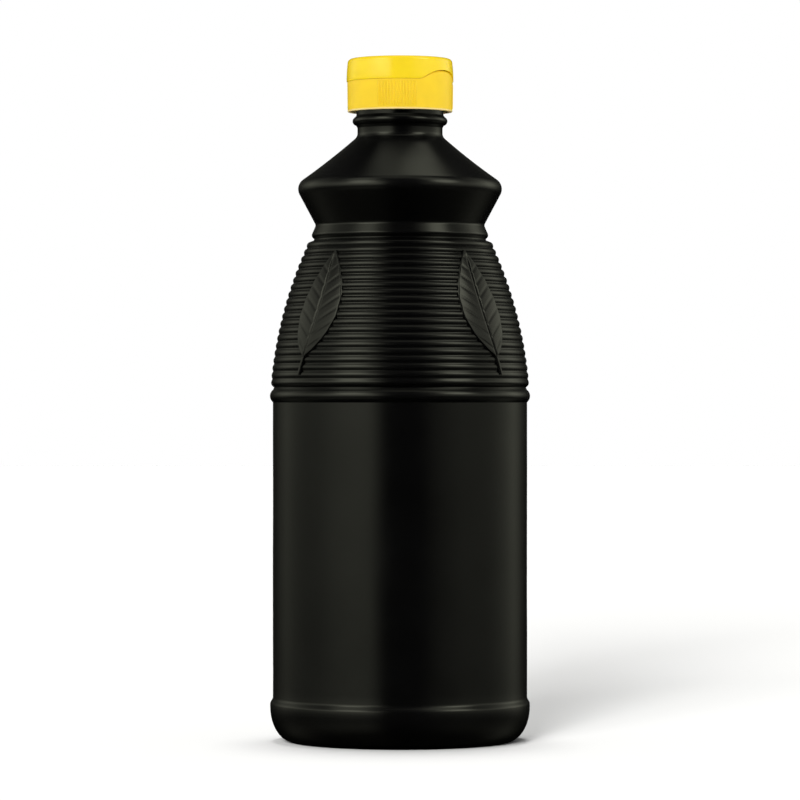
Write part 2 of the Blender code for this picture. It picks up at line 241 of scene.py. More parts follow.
def band_arc():
    """Centre and end angles of the arc on which the grooves lie."""
    across = (BAND_HIGH[0] - BAND_LOW[0], BAND_HIGH[1] - BAND_LOW[1])
    chord = math.hypot(*across)
    middle = ((BAND_LOW[0] + BAND_HIGH[0]) / 2, (BAND_LOW[1] + BAND_HIGH[1]) / 2)
    inward = (-across[1] / chord, across[0] / chord)
    depth = math.sqrt(BAND_ARC_RADIUS ** 2 - (chord / 2) ** 2)
    centre = (middle[0] + inward[0] * depth, middle[1] + inward[1] * depth)
    low = math.degrees(math.atan2(BAND_LOW[1] - centre[1], BAND_LOW[0] - centre[0]))
    high = math.degrees(math.atan2(BAND_HIGH[1] - centre[1], BAND_HIGH[0] - centre[0]))
    return centre, low, high


def band_radius(height):
    """Radius of the band at its grooves."""
    centre = band_arc()[0]
    return centre[0] + math.sqrt(BAND_ARC_RADIUS ** 2 - (height - centre[1]) ** 2)


def rib_height(height):
    share = (height - BAND_LOW[1]) / (BAND_HIGH[1] - BAND_LOW[1])
    return RIB_HEIGHT_LOW + (RIB_HEIGHT_HIGH - RIB_HEIGHT_LOW) * share


def rib(low, high, bulge):
    """One rib, from just above its lower groove to just below its upper one."""
    points = []
    for step in range(RIB_STEPS + 1):
        share = GROOVE_SHARE + (1 - 2 * GROOVE_SHARE) * step / RIB_STEPS
        points.append(bow_point(low, high, bulge, share))
    return points


def bead_outline():
    centre = (BEAD_RADIUS - BEAD_ROUNDING, BEAD_MIDDLE)
    start = -math.degrees(math.asin((BEAD_MIDDLE - BEAD_BOTTOM) / BEAD_ROUNDING))
    return arc(centre, BEAD_ROUNDING, start * BEAD_SHARE_LOW, -start * BEAD_SHARE_HIGH, steps=14)


def band_outline():
    centre, low, high = band_arc()
    grooves = arc(centre, BAND_ARC_RADIUS, low, high, BAND_ARC_RIBS)
    points = rib(BEAD_GROOVE, grooves[0], FIRST_RIB_HEIGHT)
    for start, end in zip(grooves, grooves[1:]):
        points += rib(start, end, rib_height((start[1] + end[1]) / 2))
    top = (TOP_RIB[0] - TOP_RIB_ROUNDING, TOP_RIB[1])
    points += arc(top, TOP_RIB_ROUNDING, start=-12, end=76, steps=10)
    groove = (TOP_GROOVE[0] + TOP_GROOVE_ROUNDING, TOP_GROOVE[1])
    points += arc(groove, TOP_GROOVE_ROUNDING, start=250, end=140, steps=8)
    print(f"{len(grooves) + 1} ribs")
    return points


# %% [markdown]
# ## Waist, ridge, shoulder and neck
#
# Above the ribs comes a small bead. The wall pulls in to a waist, swings out to a wide
# ridge and closes in a slightly hollow cone, so the bottle has a collar to be held by.
# The neck has one bead, which the filling line grips, and goes on up inside the cap,
# out of sight.

# %% Waist to neck
WAIST_BEAD = (29.98 * MM, 171.9 * MM)
WAIST_BEAD_ROUNDING = 1.2 * MM
WAIST = (28.75 * MM, 175.25 * MM)
WAIST_ROUNDING = 1.4 * MM
WAIST_SLOPE = 25.0
RIDGE_RADIUS = 34.62 * MM
RIDGE_HEIGHT = 187.6 * MM
RIDGE_ROUNDING = 3.9 * MM
LOWER_CONE_ANGLE = 27.8
SHOULDER_ANGLE = 54.6
SHOULDER_TOP_ANGLE = 48.5
SHOULDER_HOLLOW = 0.3 * MM
NECK_RADIUS = 14.46 * MM
NECK_FILLET = 2.6 * MM
NECK_FLARE_ROUNDING = 0.8 * MM
NECK_FLARE_WIDTH = 0.45 * MM
NECK_LOW = 206.6 * MM
NECK_HIGH = 208.15 * MM
NECK_FLARE = 26.0
NECK_BEAD_HEIGHT = 210.65 * MM
NECK_BEAD_RADIUS = 16.13 * MM
NECK_BEAD_ROUNDING = 1.45 * MM
NECK_BEAD_BELOW = 1.45 * MM
NECK_BEAD_ABOVE = 1.95 * MM
NECK_TOP_RADIUS = 14.8 * MM
NECK_TOP = 221.5 * MM


def waist_outline():
    """Small bead, waist, lower cone, ridge, shoulder cone, and the fillet up to the neck."""
    bead = (WAIST_BEAD[0] - WAIST_BEAD_ROUNDING, WAIST_BEAD[1])
    points = arc(bead, WAIST_BEAD_ROUNDING, start=-38, end=WAIST_SLOPE, steps=12)
    waist = (WAIST[0] + WAIST_ROUNDING, WAIST[1])
    points += arc(waist, WAIST_ROUNDING, 180 + WAIST_SLOPE, 180 - LOWER_CONE_ANGLE, steps=12)
    ridge = (RIDGE_RADIUS - RIDGE_ROUNDING, RIDGE_HEIGHT)
    round_over = arc(ridge, RIDGE_ROUNDING, -LOWER_CONE_ANGLE, SHOULDER_ANGLE, steps=16)
    points += bowed(points[-1], round_over[0], bulge=0.0, steps=6)
    points += round_over
    centre = (NECK_RADIUS + NECK_FILLET, NECK_LOW)
    fillet = arc(centre, NECK_FILLET, 180 + SHOULDER_TOP_ANGLE, 180, steps=12)
    points += bowed(points[-1], fillet[0], -SHOULDER_HOLLOW, steps=14)
    return points + fillet


def neck_outline():
    """The plain neck flares a little to its bead, and goes on up inside the cap."""
    flare = (NECK_RADIUS + NECK_FLARE_ROUNDING, NECK_HIGH)
    points = arc(flare, NECK_FLARE_ROUNDING, 180, 180 - NECK_FLARE, steps=4)
    points.append((NECK_RADIUS + NECK_FLARE_WIDTH, NECK_BEAD_HEIGHT - NECK_BEAD_BELOW))
    bead = (NECK_BEAD_RADIUS - NECK_BEAD_ROUNDING, NECK_BEAD_HEIGHT)
    points += arc(bead, NECK_BEAD_ROUNDING, start=-60, end=60, steps=14)
    points.append((NECK_TOP_RADIUS, NECK_BEAD_HEIGHT + NECK_BEAD_ABOVE))
    points += [(NECK_TOP_RADIUS, NECK_TOP), (0.0, NECK_TOP)]
    return points


# %% [markdown]
# ## The bottle in one turn
#
# Foot, panel, beads, ribs, waist and neck join into one line of points, so the bottle is
# a single surface without a seam between its parts, as it came out of the mould.

# %% Turn the bottle
bottle_outline = foot_outline() + panel_outline()[1:] + bead_outline()
bottle_outline += band_outline() + waist_outline() + neck_outline()
bottle = turned("bottle_shell", bottle_outline)

# %% [markdown]
# ## A blown wall is never quite true
#
# The hot tube of plastic is thicker in some places than in others and shrinks unevenly
# as it cools, so a plain wall comes out of the mould with slow swells of less than a
# tenth of a millimetre. They are too low to see by themselves, but they bend every
# reflection. A bump in the material could fake them. A displacement of the mesh is
# used here, so that the outline and the reflections agree.

# %% Slow swells in the panel and the shoulder
SWELL_DEPTH = 0.16 * MM
SWELL_SIZE = 34.0 * MM
SWELL_EASE = 9.0 * MM
PLAIN_WALLS = ((PANEL_BOTTOM, BEAD_BOTTOM), (RIDGE_HEIGHT + 2 * MM, NECK_LOW))


def swell_weight(height):
    """1 well inside a plain wall, falling to 0 at its ends."""
    weight = 0.0
    for low, high in PLAIN_WALLS:
        inside = min(height - low, high - height)
        weight = max(weight, min(1.0, inside / SWELL_EASE))
    return weight


def add_swells(piece):
    take_up(piece)
    group = piece.vertex_groups.new(name="plain walls")
    for vertex in piece.data.vertices:
        weight = swell_weight(vertex.co.z)
        if weight > 0:
            group.add([vertex.index], weight, "REPLACE")
    clouds = bpy.data.textures.new("uneven wall", "CLOUDS")
    clouds.noise_scale = SWELL_SIZE
    clouds.noise_depth = 1
    swell = piece.modifiers.new("swells", "DISPLACE")
    swell.texture = clouds
    swell.texture_coords = "LOCAL"
    swell.strength = SWELL_DEPTH
    swell.mid_level = 0.5
    swell.vertex_group = group.name
    bpy.ops.object.modifier_apply(modifier=swell.name)
    piece.vertex_groups.clear()


add_swells(bottle)
print(f"swells up to {SWELL_DEPTH / 2 / MM:.2f} mm either way")

# %% [markdown]
# ## Solids that follow the wall
#
# Leaves, the thumb notch, knurls and hinge all lie round the wall, so a block of the
# right width laid flat would not sit on it. Each is made as a flat grid that is rolled
# into a tube: its columns go round a cross-section and its rows go from one section to
# the next. Every section's points are given as an angle, a radius and a height.

# %% Roll a grid into a solid
def around(angle, radius, height):
    """The point at this angle to the right of the front, this far from the axis."""
    turn = math.radians(angle)
    return (radius * math.sin(turn), -radius * math.cos(turn), height)


def lofted(name, sections):
    """A closed solid through cross-sections that have the same number of points."""
    columns = len(sections[0])
    rows = len(sections)
    bpy.ops.object.select_all(action="DESELECT")
    bpy.ops.mesh.primitive_grid_add(x_subdivisions=columns, y_subdivisions=rows - 1, size=1.0)
    piece = bpy.context.object
    piece.name = name
    for vertex in piece.data.vertices:
        column = round((vertex.co.x + 0.5) * columns) % columns
        row = round((vertex.co.y + 0.5) * (rows - 1))
        vertex.co = sections[row][column]
    bpy.ops.object.mode_set(mode="EDIT")
    close_skin()
    return piece


def join_up(name, pieces):
    """One object out of several that stay apart from each other."""
    take_up(pieces[0])
    for piece in pieces[1:]:
        piece.select_set(True)
    bpy.ops.object.join()
    pieces[0].name = name
    return pieces[0]


def combine(piece, other, operation):
    """Adds the other solid to the piece, or cuts it away, and removes the other."""
    take_up(piece)
    boolean = piece.modifiers.new(other.name, "BOOLEAN")
    boolean.operation = operation
    boolean.object = other
    boolean.solver = "EXACT"
    bpy.ops.object.modifier_apply(modifier=boolean.name)
    bpy.data.objects.remove(other)
    print(f"{piece.name}: {operation.lower()}, now {len(piece.data.polygons)} faces")


# %% [markdown]
# ## Leaves in relief
#
# Two pairs of leaves stand out from the ribs, because they are cut into the mould. All
# are of one design, and the two of a pair lean towards each other like mirror images.
# Each has rounded margins with a slow wave in them, a groove for its midrib and finer
# grooves for its side veins, which lean towards the tip. The veins could be painted as
# bump, but a low light shows a real groove better, and the mesh keeps it.

# %% The shape of a leaf
LEAF_COUNT = 4
LEAF_FIRST_ANGLE = 45.0
LEAF_BOTTOM = 130.4 * MM
LEAF_LENGTH = 36.0 * MM
LEAF_HALF_WIDTH = 8.4 * MM
# Powers that set the widest place nearer to the base, and fill out the sides.
LEAF_FULLNESS = (0.8, 0.9)
LEAF_LEAN = 5.0 * MM
LEAF_BEND = 1.6 * MM
LEAF_RELIEF = 0.6 * MM
LEAF_EDGE_DROP = 0.2 * MM
LEAF_ROOT = 0.9 * MM
LEAF_TIP_HALF_WIDTH = 0.12 * MM
LEAF_TIP_SHARE = 0.99
STEM_LENGTH = 6.0 * MM
STEM_HALF_WIDTH = 0.65 * MM
LEAF_ROUNDING = 0.5 * MM
# The rounding takes up at most this share of the half width.
LEAF_ROUNDING_MOST = 0.6
MIDRIB_DEPTH = 0.4 * MM
MIDRIB_SPREAD = 0.36 * MM
VEIN_DEPTH = 0.2 * MM
VEIN_SPREAD = 0.3 * MM
VEIN_PITCH = 4.3 * MM
VEIN_SLANT = 0.85
VEIN_CURVE = 0.02
# How fast midrib and veins come up from the base and run out at the tip.
MIDRIB_RUN_OUT = 8
VEIN_RUN_OUT = 5
VEIN_RUN_IN = 8
MARGIN_WAVE = 0.14 * MM
MARGIN_WAVES = 6
LEAF_ROWS = 92
LEAF_COLUMNS = 56
# Columns lie closer together towards the margins, by this share of a sine.
COLUMN_CROWDING = 0.4


def leaf_half_width(share):
    """Half width of the blade from its base (0) to its tip (1)."""
    if share <= 0:
        return STEM_HALF_WIDTH
    widest, fill = LEAF_FULLNESS
    blade = LEAF_HALF_WIDTH * math.sin(math.pi * share ** widest) ** fill
    wave = MARGIN_WAVE * math.sin(math.tau * MARGIN_WAVES * share) * math.sin(math.pi * share)
    return max(STEM_HALF_WIDTH * (1 - share), blade + wave, LEAF_TIP_HALF_WIDTH)


def groove_depth(share, aside, half):
    """How deep the midrib or a side vein is cut here, whichever is deeper."""
    run_out = min(1.0, (1 - share) * MIDRIB_RUN_OUT)
    midrib = MIDRIB_DEPTH * math.exp(-(aside / MIDRIB_SPREAD) ** 2) * run_out
    along = share * LEAF_LENGTH - VEIN_SLANT * abs(aside) + VEIN_CURVE * aside ** 2 / MM
    to_vein = abs((along / VEIN_PITCH) % 1 - 0.5) * VEIN_PITCH / math.hypot(1, VEIN_SLANT)
    fade = max(0.0, 1 - (aside / half) ** 4) * min(1.0, (1 - share) * VEIN_RUN_OUT)
    fade *= min(1.0, share * VEIN_RUN_IN)
    return max(midrib, VEIN_DEPTH * math.exp(-(to_vein / VEIN_SPREAD) ** 2) * fade)


def leaf_drop(share, aside, half):
    """How far the leaf's face lies below its highest level, at this place across it."""
    rounding = min(LEAF_ROUNDING, half * LEAF_ROUNDING_MOST)
    inside = min(rounding, half - abs(aside))
    edge = rounding - math.sqrt(max(0.0, rounding ** 2 - (rounding - inside) ** 2))
    crown = LEAF_EDGE_DROP * (aside / half) ** 2
    if share <= 0:
        return edge + crown
    return edge + crown + groove_depth(share, aside, half)


def leaf_section(angle, side, share):
    """One section of a leaf, root to root over its face. It leans right (side 1) or left (-1)."""
    height = LEAF_BOTTOM + LEAF_LENGTH * share
    base = band_radius(height)
    face = base + rib_height(height) + LEAF_RELIEF
    half = leaf_half_width(share)
    middle = side * (LEAF_LEAN * (share - 0.5) + LEAF_BEND * math.sin(math.pi * share))
    points = [(-half, base - LEAF_ROOT)]
    for column in range(LEAF_COLUMNS + 1):
        place = 2 * column / LEAF_COLUMNS - 1
        crowded = COLUMN_CROWDING * math.sin(math.pi / 2 * place)
        aside = half * ((1 - COLUMN_CROWDING) * place + crowded)
        points.append((aside, face - leaf_drop(share, aside, half)))
    points.append((half, base - LEAF_ROOT))
    return [around(angle + math.degrees((middle + aside) / base), radius, height)
            for aside, radius in points]


# %% [markdown]
# ## Leaves on the wall
#
# The leaves are cut into the same mould as the wall, so the bottle has to stay one skin.
# Leaves pushed into the wall would look right but leave faces inside it. A boolean union
# joins them instead. They are joined to each other first, so one union is enough.

# %% Put the leaves on the bottle
def leaf(name, angle, side):
    """One leaf, from the foot of its stem to its tip."""
    first = -STEM_LENGTH / LEAF_LENGTH
    shares = [first + (LEAF_TIP_SHARE - first) * row / LEAF_ROWS for row in range(LEAF_ROWS + 1)]
    return lofted(name, [leaf_section(angle, side, share) for share in shares])


leaves = []
for index in range(LEAF_COUNT):
    angle = LEAF_FIRST_ANGLE + 360 * index / LEAF_COUNT
    side = -1 if index % 2 == 0 else 1
    leaves.append(leaf(f"leaf_{index + 1}", angle, side))
combine(bottle, join_up("leaves", leaves), "UNION")

# %% [markdown]
# ## The weld under the bottle
#
# Where the two halves of a blow mould close on the hot tube they pinch it shut, and a
# low weld stays across the hollow underside, along the parting line of the mould. A thin
# cylinder would do from afar. This is a bar of rounded sections that taper towards its
# ends, as squeezed plastic does.

# %% Weld bar
WELD_LENGTH = 46.0 * MM
WELD_WIDTH = 1.5 * MM
WELD_DROP = 0.6 * MM
WELD_SUNK = 0.2 * MM
WELD_BLUNTNESS = 0.02
WELD_SIDES = 12
WELD_ROWS = 24


def weld_section(share):
    """A rounded section of the bar, tapered towards its ends."""
    taper = math.sqrt(max(WELD_BLUNTNESS, 1 - (2 * share - 1) ** 4))
    x = WELD_LENGTH * (share - 0.5)
    level = PUSH_UP * (1 - (x / FOOT_RING_IN) ** 2)
    points = []
    for step in range(WELD_SIDES):
        turn = math.tau * step / WELD_SIDES
        points.append((x, WELD_WIDTH / 2 * taper * math.cos(turn),
                       level + WELD_SUNK + WELD_DROP * taper * math.sin(turn)))
    return points


weld = lofted("weld", [weld_section(row / WELD_ROWS) for row in range(WELD_ROWS + 1)])
combine(bottle, weld, "UNION")

# %% [markdown]
# ## Smooth walls, sharp creases
#
# The rounds are fine enough to be shaded smooth, but the deeper grooves and the foot of
# each leaf have to stay crisp. Marking those edges by hand would take long. Shading by
# angle does it at once: an edge is smooth unless its two faces meet at more than this.

# %% Smooth the bottle
SMOOTH_ANGLE = math.radians(34)


def smooth(piece):
    take_up(piece)
    bpy.ops.object.shade_smooth_by_angle(angle=SMOOTH_ANGLE)


def count_triangles(piece):
    piece.data.calc_loop_triangles()
    return len(piece.data.loop_triangles)


smooth(bottle)
print(f"bottle: {count_triangles(bottle)} triangles")

# %% [markdown]
# ## The base of the cap
#
# The cap's base screws or snaps on the neck. It is a drum with a thin skirt, open below,
# and a deck above. A bevel could round its edges afterwards. Here their small radii are
# part of the outline, which keeps the faces even for the cuts that follow. The parting
# between base and lid is a hair of shadow, finer than the gap that the solids keep.

# %% Turn the base
SKIRT_BOTTOM = 213.8 * MM
SKIRT_RADIUS_LOW = 17.8 * MM
SKIRT_RADIUS_HIGH = 17.92 * MM
SKIRT_INSIDE = 16.45 * MM
SKIRT_ROUNDING = 0.2 * MM
PARTING = 224.05 * MM
PARTING_GAP = 0.03 * MM
DECK_BOTTOM = NECK_TOP + 0.3 * MM
DECK_THICKNESS = 1.8 * MM
EDGE_ROUNDING = 0.09 * MM


def base_outline():
    """Under the deck, down inside the skirt, up its outside, and back over the deck."""
    low = SKIRT_BOTTOM + SKIRT_ROUNDING
    deck_top = PARTING - PARTING_GAP / 2
    points = [(0.0, DECK_BOTTOM), (SKIRT_INSIDE, DECK_BOTTOM), (SKIRT_INSIDE, low)]
    inner = (SKIRT_INSIDE + SKIRT_ROUNDING, low)
    outer = (SKIRT_RADIUS_LOW - SKIRT_ROUNDING, low)
    points += arc(inner, SKIRT_ROUNDING, start=180, end=270, steps=5)[1:]
    points += arc(outer, SKIRT_ROUNDING, start=270, end=360, steps=6)
    rim = (SKIRT_RADIUS_HIGH - EDGE_ROUNDING, deck_top - EDGE_ROUNDING)
    points += bowed(points[-1], (SKIRT_RADIUS_HIGH, rim[1]), bulge=0.0, steps=6)
    points += arc(rim, EDGE_ROUNDING, start=0, end=90, steps=4)
    points.append((0.0, deck_top))
    return points


cap_base = turned("cap_base_moulding", base_outline())

# %% [markdown]
# ## The thumb notch
#
# To the right of the front the wall of the base rises in a low arch, and the lid is cut
# away to suit, so that a thumb can push the lid up. The wall's top is rounded back under
# the lid. A bent cylinder would give the arch one radius. Here it follows a curve with
# eased feet, which both the wall and the cut in the lid use, so that they match.

# %% Arch of the notch
NOTCH_ANGLE = 56.7
NOTCH_HALF_ANGLE = 34.0
NOTCH_HEIGHT = 3.25 * MM
# Powers that broaden the top of the arch, and ease its feet.
NOTCH_SHAPE = (2.6, 1.3)
NOTCH_ROWS = 72
NOTCH_WALL = 2.1 * MM
NOTCH_RECESS = 0.9 * MM
NOTCH_ROUNDING = 2.2 * MM
NOTCH_ROUND_STEPS = 7
CUT_BEHIND = 0.3 * MM
CUT_PAST_LID = 1.0 * MM
CUT_BELOW = 1.0 * MM
LID_RADIUS_LOW = 18.15 * MM


def notch_rise(angle):
    """How far the arch stands above the parting at this angle."""
    share = min(1.0, abs(angle - NOTCH_ANGLE) / NOTCH_HALF_ANGLE)
    top, feet = NOTCH_SHAPE
    return NOTCH_HEIGHT * (1 - share ** top) ** feet


def notch_angles():
    rows = range(NOTCH_ROWS + 1)
    return [NOTCH_ANGLE + NOTCH_HALF_ANGLE * (2 * row / NOTCH_ROWS - 1) for row in rows]


def wall_section(angle):
    """The raised wall here: upright outside, then a quarter of an ellipse back to its top."""
    inner = SKIRT_RADIUS_HIGH - NOTCH_WALL
    foot = PARTING - DECK_THICKNESS / 2
    top = PARTING - PARTING_GAP / 2 + notch_rise(angle)
    round_off = min(NOTCH_ROUNDING, notch_rise(angle) / 2 + PARTING_GAP)
    points = [(inner, foot), (SKIRT_RADIUS_HIGH, foot)]
    for step in range(NOTCH_ROUND_STEPS + 1):
        turn = math.radians(90 * step / NOTCH_ROUND_STEPS)
        points.append((SKIRT_RADIUS_HIGH - NOTCH_RECESS * (1 - math.cos(turn)),
                       top - round_off * (1 - math.sin(turn))))
    points.append((inner, top))
    return [around(angle, radius, height) for radius, height in points]


def cut_section(angle):
    """What the lid leaves out here."""
    inner = SKIRT_RADIUS_HIGH - NOTCH_WALL - CUT_BEHIND
    outer = LID_RADIUS_LOW + CUT_PAST_LID
    foot = PARTING - CUT_BELOW
    top = PARTING + PARTING_GAP / 2 + notch_rise(angle)
    points = ((inner, foot), (outer, foot), (outer, top), (inner, top))
    return [around(angle, radius, height) for radius, height in points]


notch_wall = lofted("notch_wall", [wall_section(angle) for angle in notch_angles()])
combine(cap_base, notch_wall, "UNION")

# %% [markdown]
# ## Knurls
#
# Fine upright ribs give the fingers a hold when the cap is screwed down. They stand in
# two patches, about 60 degrees either side of the notch, with plain wall between. An
# Array modifier could repeat them. Here one rib with rounded ends is modelled and copied
# round, each copy with its own mesh, and all of them are joined to the wall in one go.

# %% Ribs of the knurl
KNURL_PITCH = 3.45
KNURL_RIBS = 13
KNURL_FIRST_ANGLES = (-24.0, 95.6)
KNURL_BOTTOM = 214.9 * MM
KNURL_TOP = 223.3 * MM
KNURL_HALF_WIDTH = 0.37 * MM
KNURL_HEIGHT = 0.31 * MM
# A power below 1 makes the hump fuller than a plain sine.
KNURL_FULLNESS = 0.6
KNURL_SUNK = 0.05 * MM
KNURL_ROOT = 0.25 * MM
KNURL_SIDES = 9
KNURL_END = 0.3 * MM
# Part of the way in from each end, the rib has this share of its full height.
KNURL_END_PART = 0.3
KNURL_END_SIZE = 0.7


def skirt_radius(height):
    share = (height - SKIRT_BOTTOM) / (PARTING - SKIRT_BOTTOM)
    return SKIRT_RADIUS_LOW + (SKIRT_RADIUS_HIGH - SKIRT_RADIUS_LOW) * share


def knurl_section(height, size):
    """A low round hump on the wall at the front; size shrinks it at the rib's ends."""
    skin = skirt_radius(height)
    half = math.degrees(KNURL_HALF_WIDTH / skin)
    points = [(-half, skin - KNURL_ROOT)]
    for step in range(KNURL_SIDES + 1):
        share = step / KNURL_SIDES
        hump = KNURL_HEIGHT * size * math.sin(math.pi * share) ** KNURL_FULLNESS
        points.append((half * (2 * share - 1), skin - KNURL_SUNK + hump))
    points.append((half, skin - KNURL_ROOT))
    return [around(angle, radius, height) for angle, radius in points]


def knurl_rib(name):
    """One rib: its hump comes up within its rounded ends."""
    low = KNURL_BOTTOM
    high = KNURL_TOP
    places = (
        (low, 0.0),
        (low + KNURL_END * KNURL_END_PART, KNURL_END_SIZE),
        (low + KNURL_END, 1.0),
        ((low + high) / 2, 1.0),
        (high - KNURL_END, 1.0),
        (high - KNURL_END * KNURL_END_PART, KNURL_END_SIZE),
        (high, 0.0),
    )
    return lofted(name, [knurl_section(height, size) for height, size in places])


def copied_round(piece, angle):
    """A copy with its own mesh, turned about the upright axis."""
    take_up(piece)
    bpy.ops.object.duplicate()
    copy = bpy.context.object
    copy.data.transform(Matrix.Rotation(math.radians(angle), 4, "Z"))
    return copy


pattern = knurl_rib("knurl_pattern")
ribs = []
for first in KNURL_FIRST_ANGLES:
    for index in range(KNURL_RIBS):
        ribs.append(copied_round(pattern, first + KNURL_PITCH * index))
bpy.data.objects.remove(pattern)
print(f"{len(ribs)} knurl ribs")
combine(cap_base, join_up("knurls", ribs), "UNION")

# %% [markdown]
# ## The lid
#
# The lid is a shallow drum with a rounded top edge, a hair wider than the base. Its top is
# flat and carries the small dimple of the moulding gate, where the melt came in. It is
# turned as a whole, and then the arch that the base's wall fills is cut out of it with a
# boolean, as a mould's insert would leave it out.

# %% Turn the lid and cut the notch
LID_RADIUS_HIGH = 17.8 * MM
LID_TOP = 231.8 * MM
LID_ROUNDING = 1.4 * MM
LID_BULGE = 0.1 * MM
GATE_RADIUS = 0.9 * MM
GATE_RIM = GATE_RADIUS * 1.5
GATE_FLOOR = GATE_RADIUS * 0.6
GATE_DEPTH = 0.25 * MM
GATE_SHOULDER = 0.15


def gate_outline():
    """The dimple in the middle of the lid, from its rim to the axis."""
    return [
        (GATE_RIM, LID_TOP),
        (GATE_RADIUS, LID_TOP - GATE_DEPTH * GATE_SHOULDER),
        (GATE_FLOOR, LID_TOP - GATE_DEPTH),
        (0.0, LID_TOP - GATE_DEPTH),
    ]


def lid_outline():
    bottom = PARTING + PARTING_GAP / 2
    rim = (LID_RADIUS_LOW - EDGE_ROUNDING, bottom + EDGE_ROUNDING)
    top = (LID_RADIUS_HIGH - LID_ROUNDING, LID_TOP - LID_ROUNDING)
    points = [(0.0, bottom)]
    points += arc(rim, EDGE_ROUNDING, start=270, end=360, steps=4)
    points += bowed(points[-1], (LID_RADIUS_HIGH, top[1]), LID_BULGE, steps=8)
    points += arc(top, LID_ROUNDING, start=0, end=90, steps=14)
    points += s_curve(points[-1], (GATE_RIM, LID_TOP), steps=3)
    return points + gate_outline()


lid = turned("lid_moulding", lid_outline())
notch_cut = lofted("notch_cut", [cut_section(angle) for angle in notch_angles()])
combine(lid, notch_cut, "DIFFERENCE")

# %% [markdown]
# ## The hinge
#
# Opposite the notch a lug of the lid reaches down into a pocket of the base. It is the
# hinge, and the crease across it is where the plastic bends when the lid goes up. A box
# would stand off the round wall at its corners, so lug and pocket are one profile each,
# carried round the wall.

# %% Lug, crease and pocket
HINGE_WIDTH = 9.0 * MM
HINGE_THICKNESS = 1.1 * MM
HINGE_DROP = 1.6 * MM
HINGE_GAP = 0.12 * MM
HINGE_ROWS = 12
LUG_EDGE = 0.1 * MM
LUG_RISE = 2.0 * MM
CREASE_DEPTH = 0.35 * MM
CREASE_HALF = 0.4 * MM
POCKET_PAST_WALL = 1.0 * MM
POCKET_RISE = 1.0 * MM


def hinge_piece(name, width, profile):
    """A (radius, height) profile carried across the back of the cap."""
    half = math.degrees(width / 2 / LID_RADIUS_LOW)
    sections = []
    for row in range(HINGE_ROWS + 1):
        angle = NOTCH_ANGLE + 180 + half * (2 * row / HINGE_ROWS - 1)
        sections.append([around(angle, radius, height) for radius, height in profile])
    return lofted(name, sections)


wall = SKIRT_RADIUS_HIGH
lug_bottom = PARTING - HINGE_DROP
lug_profile = (
    (wall - HINGE_THICKNESS, lug_bottom),
    (wall - LUG_EDGE, lug_bottom),
    (wall, lug_bottom + LUG_EDGE),
    (wall, PARTING - CREASE_HALF),
    (wall - CREASE_DEPTH, PARTING),
    (wall, PARTING + CREASE_HALF),
    (wall, PARTING + LUG_RISE),
    (wall - HINGE_THICKNESS, PARTING + LUG_RISE),
)
pocket_profile = (
    (wall - HINGE_THICKNESS - HINGE_GAP, lug_bottom - HINGE_GAP),
    (wall + POCKET_PAST_WALL, lug_bottom - HINGE_GAP),
    (wall + POCKET_PAST_WALL, PARTING + POCKET_RISE),
    (wall - HINGE_THICKNESS - HINGE_GAP, PARTING + POCKET_RISE),
)
pocket = hinge_piece("pocket", HINGE_WIDTH + 2 * HINGE_GAP, pocket_profile)
combine(cap_base, pocket, "DIFFERENCE")
combine(lid, hinge_piece("lug", HINGE_WIDTH, lug_profile), "UNION")

# %% [markdown]
# ## Smooth the cap
#
# Base and lid are shaded by the same angle as the bottle. Their long walls become even,
# and the parting, the knurls and the arch of the notch keep their edges.

# %% Smooth the cap
for piece in (cap_base, lid):
    smooth(piece)
    print(f"{piece.name}: {count_triangles(piece)} triangles")

# %% [markdown]
# ## Finishes
#
# Each finish starts from what the plastic is. Two small helpers are enough: one turns a
# colour as a designer writes it, in sRGB hex, into the linear numbers that a shader
# wants, and one adds a node with its settings and links.

# %% Helpers for materials
def linear(hex_colour):
    """An sRGB hex colour as linear red, green, blue and alpha."""
    colour = []
    for place in (1, 3, 5):
        level = int(hex_colour[place:place + 2], 16) / 255
        colour.append(level / 12.92 if level <= 0.04045 else ((level + 0.055) / 1.055) ** 2.4)
    return (*colour, 1.0)


def add_node(tree, kind, inputs=None, **settings):
    """Adds a node. An input given as another node's output is linked, and any other is set."""
    made = tree.nodes.new(kind)
    for name, value in settings.items():
        setattr(made, name, value)
    for name, value in (inputs or {}).items():
        if isinstance(value, bpy.types.NodeSocket):
            tree.links.new(value, made.inputs[name])
        else:
            made.inputs[name].default_value = value
    return made


def new_material(name):
    """A new material, its node tree and its Principled shader."""
    material = bpy.data.materials.new(name)
    material.use_nodes = True
    return material, material.node_tree, material.node_tree.nodes["Principled BSDF"]


def per_metre(size):
    """The scale of a noise whose cells are about this size."""
    return 1.0 / size


# %% [markdown]
# ## Black blow-moulded polyethylene
#
# The shell is high-density polyethylene coloured through with carbon black. The mould
# is sand-blasted so that air can escape, which leaves a fine grain and a satin gloss:
# the eye sees wide, soft reflections on a nearly black ground. The grain of the blasting
# is about 0.1 mm and too fine to show, so it is drawn at 0.7 mm and kept very low. The
# gloss is slightly patchy, as on any wall that cooled unevenly, and the halves of the
# mould leave a thin line up both sides.

# %% Material of the bottle
BLAST_GRAIN = 0.7 * MM
BLAST_DEPTH = 0.02 * MM
PATCH_SIZE = 16.0 * MM
ROUGHNESS_LOW = 0.20
ROUGHNESS_HIGH = 0.26
SEAM_HALF_WIDTH = 0.22 * MM
SEAM_HEIGHT = 0.06 * MM


